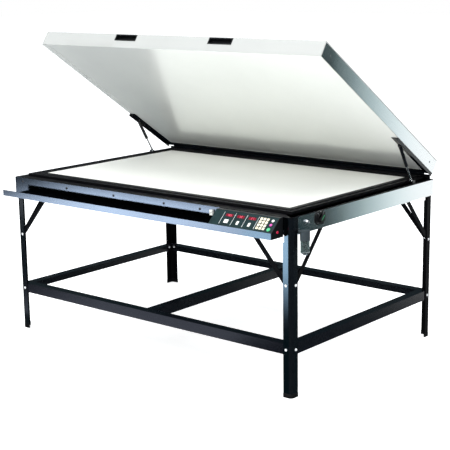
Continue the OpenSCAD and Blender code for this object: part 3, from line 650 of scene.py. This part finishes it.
def make_trough_screws():
    """Button heads with a socket, on the trough's back wall, and their shanks behind it."""
    turn = Matrix.Rotation(math.radians(90), 4, "X")
    head_height, shank_radius, end_chamfer = 3.2 * MM, 2.7 * MM, 0.4 * MM
    parts = []
    for low, high in loose_boxes("trough_screws"):
        radius, end = (high.x - low.x) / 2, head_height - (high.y - low.y)
        head = lathe([(0, 0), (radius * 0.97, 0), (radius * 0.97, 0.8 * MM), (radius * 0.82, 2.2 * MM),
                      (radius * 0.5, 3.0 * MM), (radius * 0.42, 3.1 * MM), (radius * 0.40, 1.4 * MM),
                      (0, 1.4 * MM)], 24)
        shank = lathe([(0, end), (shank_radius, end + end_chamfer), (shank_radius, 0.1 * MM),
                       (0, 0.1 * MM)], 16)
        seat = Matrix.Translation((low.x + radius, low.y + head_height, (low.z + high.z) / 2))
        parts += [(head, seat @ turn), (shank, seat @ turn)]
    mesh = merged(parts)
    smooth(mesh)
    screws = place_piece("trough_screws_button", mesh, "zinc", "table", "print_dark")
    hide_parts("trough_screws")


# Segments of a seven-part digit as (left, low, right, high) in a cell 1 wide and 2 high
BAR = 0.16
SEGMENTS = {
    "a": (BAR, 2 - BAR, 1 - BAR, 2), "b": (1 - BAR, 1, 1, 2 - BAR), "c": (1 - BAR, BAR, 1, 1),
    "d": (BAR, 0, 1 - BAR, BAR), "e": (0, BAR, BAR, 1), "f": (0, 1, BAR, 2 - BAR),
    "g": (BAR, 1 - BAR / 2, 1 - BAR, 1 + BAR / 2),
}
DIGITS = {"0": "abcdef", "1": "bc", "2": "abged", "3": "abgcd", "4": "fgbc", "5": "afgcd", "6": "afgedc",
          "7": "abc", "8": "abcdefg", "9": "abcdfg"}


def digit_parts(text, centre, width, pitch, thickness):
    """Slabs for a row of digits, centred on a point of the console's face."""
    parts = []
    start = centre[0] - (len(text) - 1) * pitch / 2 - width / 2
    for place, char in enumerate(text):
        for key in DIGITS[char]:
            left, low, right, high = (width * v for v in SEGMENTS[key])
            middle = Vector((start + place * pitch + (left + right) / 2,
                             centre[1] - width + (low + high) / 2, centre[2]))
            bar = slab((right - left, high - low, thickness))
            parts.append((bar, SLOPE @ Matrix.Translation(middle)))
    return parts


def boxes_on_slope(node):
    """Boxes of a node's separate solids on the console's face, from left to right."""
    back = SLOPE.inverted()
    found = []
    for low, high in loose_boxes(node):
        middle = back @ ((low + high) / 2)
        found.append((middle, high - low))
    return sorted(found, key=lambda item: item[0].x)


ROCKERS = ("rocker_temperature", "rocker_time", "rocker_vacuum")
INK = 0.25 * MM


def make_console():
    for node, width in (("console_housing", 0.8), ("console_end_plate", 0.6), ("console_fascia", 0.3),
                        ("display_modules", 0.5), ("keypad_mat", 1.0), ("pilot_lamp", 1.5)):
        soften(node, width * MM, 3)
    for node in ROCKERS:
        soften(node, 1.2 * MM, 3)
    for node in ("button_select", "button_stop", "button_start"):
        soften(node, 1.0 * MM, 3)
    make_fascia_print()
    make_key_print()
    make_rocker_print()


def make_fascia_print():
    """Divider lines between the displays, and the figures that the displays show."""
    _, high = local_box("console_fascia", SLOPE)
    displays = boxes_on_slope("display_modules")
    pitch = displays[1][0].x - displays[0][0].x
    line_y0, line_y1 = 8 * MM, high.y - 9 * MM
    lines = []
    for k in range(4):
        x = displays[0][0].x + (k - 0.5) * pitch
        line = slab((1.5 * MM, line_y1 - line_y0, INK))
        lines.append((line, SLOPE @ Matrix.Translation((x, (line_y0 + line_y1) / 2, INK / 2))))
    place_piece("fascia_lines", merged(lines), "key_white", "table", "print_white")

    figures = []
    for (middle, _), text in zip(displays, ("185", "30", "27")):
        spot = (middle.x, middle.y, -0.45 * MM)
        figures += digit_parts(text, spot, 5.6 * MM, 9.5 * MM, 0.3 * MM)
    place_piece("display_figures", merged(figures), "display_red", "table", "segment_red")


def make_key_print():
    """Digits on ten keys and a plain square on the other two."""
    keys_low, keys_high = local_box("keypad_mat", SLOPE)
    middle_x, middle_y = (keys_low.x + keys_high.x) / 2, (keys_low.y + keys_high.y) / 2
    pitch_x = (keys_high.x - keys_low.x) / 3
    pitch_y = (keys_high.y - keys_low.y) / 4
    dark, orange = [], []
    for row, names in enumerate((("", "0", ""), ("7", "8", "9"), ("4", "5", "6"), ("1", "2", "3"))):
        for column, name in enumerate(names):
            centre = (middle_x + (column - 1) * pitch_x, middle_y + (row - 1.5) * pitch_y, keys_high.z)
            if name:
                dark += digit_parts(name, centre, 3.2 * MM, 0, INK)
            else:
                orange.append((slab((5 * MM, 5 * MM, INK)), SLOPE @ Matrix.Translation(centre)))
    place_piece("key_figures", merged(dark), "key_cream", "table", "print_dark")
    place_piece("key_marks", merged(orange), "key_cream", "table", "print_orange")


def make_rocker_print():
    """An arrow at each end of each rocker key."""
    arrow_radius, from_middle = 2.6 * MM, 5.5 * MM
    arrow = lathe([(0, 0), (arrow_radius, 0), (arrow_radius, INK), (0, INK)], 3)
    for node in ROCKERS:
        low, high = local_box(node, SLOPE)
        parts = []
        for way in (-1, 1):
            turn = Matrix.Rotation(math.radians(90 * way), 4, "Z")
            spot = ((low.x + high.x) / 2, (low.y + high.y) / 2 + way * from_middle, high.z - INK / 2)
            parts.append((arrow, SLOPE @ Matrix.Translation(spot) @ turn))
        place_piece(node + "_arrows", merged(parts), "key_white", node, "print_orange")


def make_side_fittings():
    make_switch()
    make_port()
    make_filter()


def make_switch():
    """Knob with a green pointer, three ticks round it and a screw at each corner of its plate."""
    soften("switch_plate", 1.0 * MM, 3)
    soften("switch_knob", 1.2 * MM, 3)
    low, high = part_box("switch_knob")
    middle_y, middle_z = (low.y + high.y) / 2, (low.z + high.z) / 2
    pointer = slab((0.5 * MM, 2.4 * MM, 30 * MM), 0.2 * MM)
    turn = Matrix.Rotation(math.radians(-45), 4, "X")
    pointer.transform(Matrix.Translation((high.x - 0.1 * MM, middle_y, middle_z)) @ turn
                      @ Matrix.Translation((0, 0, 2 * MM)))
    place_piece("switch_pointer", pointer, "key_green", "switch_knob", "key_green")

    face_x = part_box("switch_plate")[1].x
    tick_ring, screw_reach = 28 * MM, 24 * MM
    tick = slab((0.4 * MM, 5 * MM, 1.4 * MM))
    ticks = []
    for k in range(3):
        angle = math.radians(45 + 45 * k)
        spot = (face_x, middle_y + tick_ring * math.cos(angle), middle_z + tick_ring * math.sin(angle))
        ticks.append((tick, Matrix.Translation(spot) @ Matrix.Rotation(angle, 4, "X")))
    place_piece("switch_ticks", merged(ticks), "key_white", "table", "print_white")

    screw = lathe([(0, 0), (2.6 * MM, 0), (2.6 * MM, 0.5 * MM), (1.8 * MM, 1.1 * MM), (0, 1.3 * MM)], 20)
    screws = []
    for side_y in (-1, 1):
        for side_z in (-1, 1):
            spot = (face_x, middle_y + side_y * screw_reach, middle_z + side_z * screw_reach)
            screws.append((screw, Matrix.Translation(spot) @ Matrix.Rotation(math.radians(90), 4, "Y")))
    place_piece("switch_screws", merged(screws), "zinc", "table")


def make_port():
    """Hose nipple: a hexagon nut, a barbed neck and an open bore."""
    low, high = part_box("vacuum_port")
    middle_y, middle_z = (low.y + high.y) / 2, (low.z + high.z) / 2
    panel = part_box("side_panel_right")[1].x
    back, reach = low.x - panel, high.x - panel
    bore, shoulder, nut_top, barb_pitch = 5 * MM, 7.4 * MM, 4 * MM, 3.2 * MM
    nut = lathe([(6 * MM, 0.3 * MM), (9.8 * MM, 0.3 * MM), (10.9 * MM, 0.9 * MM), (10.9 * MM, 3.4 * MM),
                 (9.8 * MM, nut_top), (6 * MM, nut_top), (6 * MM, 0.3 * MM)], 6)
    neck = [(bore, back), (shoulder, back), (shoulder, nut_top)]
    for k in range(3):
        base = nut_top + k * barb_pitch
        neck += [(7.9 * MM, base + 0.3 * MM), (6.9 * MM, base + 3.0 * MM)]
    neck += [(6.6 * MM, reach), (5.2 * MM, reach), (bore, reach - 0.4 * MM), (bore, back)]
    body = lathe(neck, 32)
    turn = Matrix.Translation((panel, middle_y, middle_z)) @ Matrix.Rotation(math.radians(90), 4, "Y")
    mesh = merged([(nut, turn), (body, turn)])
    smooth(mesh, 30)
    piece = place_piece("vacuum_port_nipple", mesh, "zinc", "table")
    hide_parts("vacuum_port")


def make_filter():
    """Head, drain, a ribbed bowl with a round bottom, its band, and the element inside it."""
    soften("filter_head", 1.5 * MM, 3)
    soften("filter_drain", 0.8 * MM, 3)
    low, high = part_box("filter_bowl")
    seat = Matrix.Translation(((low.x + high.x) / 2, (low.y + high.y) / 2, low.z))
    radius, tall = (high.x - low.x) / 2, high.z - low.z
    drain, wall, rib_pitch, rib_depth = 4.1 * MM, 3 * MM, 11 * MM, 0.8 * MM
    outline = [(drain, 0), (radius - 6 * MM, 0), (radius - 2 * MM, 1.6 * MM), (radius, 6 * MM)]
    for k in range(4):
        ring = 14 * MM + k * rib_pitch
        outline += [(radius, ring), (radius - rib_depth, ring + 1 * MM),
                    (radius - rib_depth, ring + 3 * MM), (radius, ring + 4 * MM)]
    outline += [(radius, tall), (radius - wall, tall), (radius - wall, 8 * MM), (radius - 6 * MM, 4.4 * MM),
                (drain, 4 * MM), (drain, 0)]
    bowl = lathe(outline, 48)
    bowl.transform(seat)
    piece = place_piece("filter_bowl_moulded", bowl, "bowl_clear", "filter_bowl")
    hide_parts("filter_bowl")

    element = pleated_tube(40, 12 * MM, 10.5 * MM, 12 * MM, tall - 9 * MM)
    element.transform(seat)
    place_piece("filter_element", element, "filter_alloy", "table", "element_dark")

    seam, outer, inner = radius + 0.1 * MM, radius + 0.6 * MM, radius - 0.4 * MM
    band = lathe([(seam, 0.6 * MM), (outer, 1.0 * MM), (outer, 4 * MM), (seam, 4.4 * MM), (inner, 4 * MM),
                  (inner, 1 * MM), (seam, 0.6 * MM)], 48)
    band.transform(seat @ Matrix.Translation((0, 0, 3.5 * MM)))
    place_piece("filter_band", band, "zinc", "filter_bowl")


def pleated_tube(count, ridge, valley, bottom, top):
    """A closed star-shaped column; count is even, and its points alternate between two radii."""
    bm = bmesh.new()
    for z in (bottom, top):
        for k in range(count):
            angle = 2 * math.pi * k / count
            radius = ridge if k % 2 else valley
            bm.verts.new((radius * math.cos(angle), radius * math.sin(angle), z))
    bm.verts.ensure_lookup_table()
    for k in range(count):
        after = (k + 1) % count
        bm.faces.new([bm.verts[i] for i in (k, after, count + after, count + k)])
    bm.faces.new([bm.verts[i] for i in reversed(range(count))])
    bm.faces.new([bm.verts[count + i] for i in range(count)])
    mesh = bpy.data.meshes.new("pleats")
    bm.to_mesh(mesh)
    bm.free()
    return mesh


# ---- Lid ----

def grid_face(bm, origin, across, along, cuts_a, cuts_b, hole):
    """Adds a flat wall as a grid of faces, leaving out those that hole() names."""
    verts = [[bm.verts.new(origin + across * a + along * b) for a in cuts_a] for b in cuts_b]
    for j in range(len(cuts_b) - 1):
        for i in range(len(cuts_a) - 1):
            if not hole(i, j):
                bm.faces.new((verts[j][i], verts[j][i + 1], verts[j + 1][i + 1], verts[j + 1][i]))


def make_lid_shell():
    """Folded skin with welded round corners, a flange round the underside and two cup openings."""
    low, high = local_box("lid_shell", LID)
    rim, skin, cup_flange = 45 * MM, 1.6 * MM, 4 * MM
    cups = lid_boxes("pull_cups")
    cup_edges = [x for cup_low, cup_high in cups for x in (cup_low.x + cup_flange, cup_high.x - cup_flange)]
    x_cuts = [low.x, *cup_edges, high.x]
    z_cuts = [low.z, cups[0][0].z + cup_flange, cups[0][1].z - cup_flange, high.z]
    bm = bmesh.new()
    x_axis, y_axis, z_axis = Vector((1, 0, 0)), Vector((0, 1, 0)), Vector((0, 0, 1))
    grid_face(bm, Vector((0, low.y, 0)), x_axis, z_axis, x_cuts, z_cuts,
              lambda i, j: j == 1 and i in (1, 3))
    grid_face(bm, Vector((0, high.y, 0)), x_axis, z_axis, x_cuts, z_cuts, lambda i, j: False)
    y_cuts = [low.y, high.y]
    for x in (low.x, high.x):
        grid_face(bm, Vector((x, 0, 0)), y_axis, z_axis, y_cuts, z_cuts, lambda i, j: False)
    grid_face(bm, Vector((0, 0, high.z)), x_axis, y_axis, x_cuts, y_cuts, lambda i, j: False)
    inner_x = [low.x, low.x + rim, high.x - rim, high.x]
    under_x = sorted(set(x_cuts + inner_x))
    under_y = [low.y, low.y + rim, high.y - rim, high.y]
    grid_face(bm, Vector((0, 0, low.z)), x_axis, y_axis, under_x, under_y,
              lambda i, j: j == 1 and low.x + rim - 1e-6 < under_x[i] < high.x - rim - 1e-6)
    bmesh.ops.remove_doubles(bm, verts=bm.verts, dist=WELD)
    bmesh.ops.recalc_face_normals(bm, faces=bm.faces)
    top = max(bm.faces, key=lambda face: face.calc_center_median().z)
    if top.normal.z < 0:
        bmesh.ops.reverse_faces(bm, faces=bm.faces)
    mesh = bpy.data.meshes.new("lid")
    bm.to_mesh(mesh)
    bm.free()
    smooth(mesh, 30)
    mesh = baked(mesh, [
        ("BEVEL", {"width": 4.5 * MM, "segments": 4, "limit_method": "ANGLE",
                   "angle_limit": math.radians(50)}),
        ("SOLIDIFY", {"thickness": skin, "offset": -1, "use_even_offset": True}),
    ])
    smooth(mesh, 50)
    mesh = baked(mesh, [("WEIGHTED_NORMAL", {"keep_sharp": True, "weight": 100})])
    piece = place_piece("lid_shell_folded", mesh, "lid_enamel", "lid")
    for look in ("side_metal", "flat_black", "platen_coat"):
        mesh.materials.append(FINISHES[look])
    # The lid's ends take the side metal. Its downward rim takes the light platen coat as painted light against the
    # grey skin, and the rim's rear strip is painted black as painted shade for the dark hinge gap.
    ends, rear_rim_painted_shade, rim_painted_light = 1, 2, 3
    for face in mesh.polygons:
        if abs(face.normal.x) > 0.7 and face.area > 0.01:
            face.material_index = ends
        elif face.normal.z < -0.7 and face.center.z < low.z + skin:
            face.material_index = rear_rim_painted_shade if face.center.y > high.y - rim else rim_painted_light
    mesh.transform(LID)
    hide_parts("lid_shell")
    return low, high


def lid_boxes(node):
    """Boxes of a lid node's separate solids in the lid's own frame."""
    return loose_boxes(node, LID.inverted())


def make_lid():
    low, high = make_lid_shell()
    for node, width in (("pull_cups", 1.0), ("lid_edge_angles", 0.6), ("hinge_lid_leaves", 0.5),
                        ("heated_platen", 0.8)):
        soften(node, width * MM, 2)
    make_lid_screws(low, high)


def make_lid_screws(low, high):
    """Pan-head screws near the front and rear corners of the lid's ends."""
    screw = lathe([(0, 0), (4.5 * MM, 0), (4.5 * MM, 0.6 * MM), (3.4 * MM, 1.6 * MM), (1.4 * MM, 2 * MM),
                   (1.2 * MM, 0.9 * MM), (0, 0.9 * MM)], 24)
    depth = high.y - low.y
    parts = []
    for side, x in ((-1, low.x), (1, high.x)):
        turn = Matrix.Rotation(math.radians(90 * side), 4, "Y")
        for share in (0.055, 0.945):
            spot = (x, low.y + share * depth, low.z + 40 * MM)
            parts.append((screw, LID @ Matrix.Translation(spot) @ turn))
    mesh = merged(parts)
    smooth(mesh)
    place_piece("lid_side_screws", mesh, "zinc", "lid")


def make_hinges():
    soften("hinge_base_leaves", 0.5 * MM)
    soften("hinge_pins", 0.8 * MM)
    screw = lathe([(0, 0), (4.2 * MM, 0), (4.0 * MM, 0.5 * MM), (1.5 * MM, 0.8 * MM), (1.3 * MM, 0.1 * MM),
                   (0, 0.1 * MM)], 20)
    turn = Matrix.Rotation(math.radians(-90), 4, "X")
    pitch_x, half_pitch_z, leaf = 52 * MM, 15 * MM, 2.8 * MM
    for node, body, matrix, shift in (("hinge_base_leaves", "table", Matrix.Identity(4), -4 * MM),
                                      ("hinge_lid_leaves", "lid", LID, 4 * MM)):
        parts = []
        for low, high in loose_boxes(node, matrix.inverted()):
            middle_x, middle_z = (low.x + high.x) / 2, (low.z + high.z) / 2 + shift
            for column in (-1, 0, 1):
                for row in (-1, 1):
                    spot = (middle_x + column * pitch_x, low.y + leaf, middle_z + row * half_pitch_z)
                    parts.append((screw, matrix @ Matrix.Translation(spot) @ turn))
        mesh = merged(parts)
        smooth(mesh)
        place_piece(node + "_screws", mesh, "zinc", body)


def make_struts():
    for side in ("left", "right"):
        soften("strut_cylinder_" + side, 0.8 * MM, 3)
        soften("strut_rod_" + side, 0.6 * MM, 3)
    soften("strut_feet", 0.6 * MM)


def finish_cad_nodes():
    """Every CAD node gets its finish, because those that nothing replaces are shown."""
    for node, piece in NODES.items():
        piece.data.materials.clear()
        piece.data.materials.append(FINISHES[SLOT_OF[node]])


make_camera()
make_studio()
finish_cad_nodes()
make_stand()
make_table()
make_trough()
make_console()
make_side_fittings()
make_lid()
make_hinges()
make_struts()
